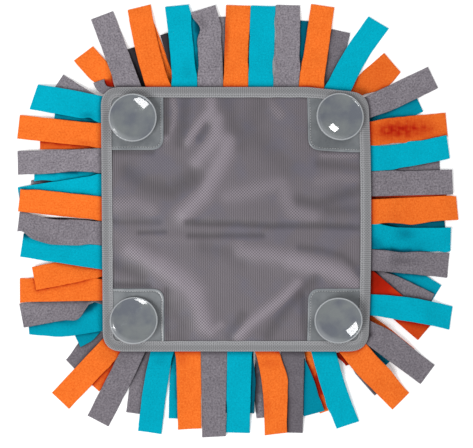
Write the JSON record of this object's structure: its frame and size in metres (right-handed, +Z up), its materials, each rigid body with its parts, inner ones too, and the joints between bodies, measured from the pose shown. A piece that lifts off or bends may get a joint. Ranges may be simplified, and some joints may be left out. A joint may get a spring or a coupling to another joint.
{
  "type": "snuffle mat",
  "caption": "Square fleece snuffle mat for a pet, lying on its working face: bound cloth backing, a suction cup in each corner, and fleece strips fanned out all round.",
  "frame": {"origin": "the middle of the whole mat's underside, on the surface it lies on", "axes": "+Z up out of the backing, +X to the right and +Y away as the mat is seen from above"},
  "size_m": [0.45, 0.443, 0.0334],
  "materials": {
    "backing_nylon": "dark grey woven cloth with a fine mesh, slightly shiny, softly creased",
    "binding_tape": "mid grey ribbed woven tape, matt, stitched",
    "patch_vinyl": "grey flexible vinyl, glossy, sewn along its edges",
    "suction_cup": "smoky clear soft plastic, glossy, see-through",
    "fleece_grey": "heather grey brushed fleece, matt",
    "fleece_orange": "bright orange brushed fleece, matt",
    "fleece_teal": "bright teal blue brushed fleece, matt",
    "thread": "mid grey sewing thread"
  },
  "bodies": {
    "root": {"backing_panel": "backing_nylon", "edge_binding": "binding_tape", "corner_patch_1": "patch_vinyl", "corner_patch_2": "patch_vinyl", "corner_patch_3": "patch_vinyl", "corner_patch_4": "patch_vinyl", "suction_cup_1": "suction_cup", "suction_cup_2": "suction_cup", "suction_cup_3": "suction_cup", "suction_cup_4": "suction_cup", "pile_row_1": "fleece_grey", "pile_row_2": "fleece_grey", "pile_row_3": "fleece_grey", "pile_row_4": "fleece_grey", "under_row_top": "fleece_grey", "under_row_right": "fleece_grey", "under_row_bottom": "fleece_grey", "under_row_left": "fleece_grey", "strip_01_grey": "fleece_grey", "strip_02_orange": "fleece_orange", "strip_03_teal": "fleece_teal", "strip_04_grey": "fleece_grey", "strip_05_orange": "fleece_orange", "strip_06_teal": "fleece_teal", "strip_07_grey": "fleece_grey", "strip_08_orange": "fleece_orange", "strip_09_teal": "fleece_teal", "strip_10_grey": "fleece_grey", "strip_11_orange": "fleece_orange", "strip_12_teal": "fleece_teal", "strip_13_grey": "fleece_grey", "strip_14_orange": "fleece_orange", "strip_15_teal": "fleece_teal", "strip_16_grey": "fleece_grey", "strip_17_orange": "fleece_orange", "strip_18_teal": "fleece_teal", "strip_19_grey": "fleece_grey", "strip_20_orange": "fleece_orange", "strip_21_teal": "fleece_teal", "strip_22_grey": "fleece_grey", "strip_23_orange": "fleece_orange", "strip_24_teal": "fleece_teal", "strip_25_grey": "fleece_grey", "strip_26_orange": "fleece_orange", "strip_27_teal": "fleece_teal", "strip_28_grey": "fleece_grey", "strip_29_orange": "fleece_orange", "strip_30_teal": "fleece_teal", "strip_31_grey": "fleece_grey", "strip_32_orange": "fleece_orange", "strip_33_orange": "fleece_orange", "strip_34_teal": "fleece_teal", "strip_35_grey": "fleece_grey", "strip_36_orange": "fleece_orange", "strip_37_teal": "fleece_teal", "strip_38_grey": "fleece_grey", "strip_39_orange": "fleece_orange", "strip_40_teal": "fleece_teal"}
  },
  "joints": []
}
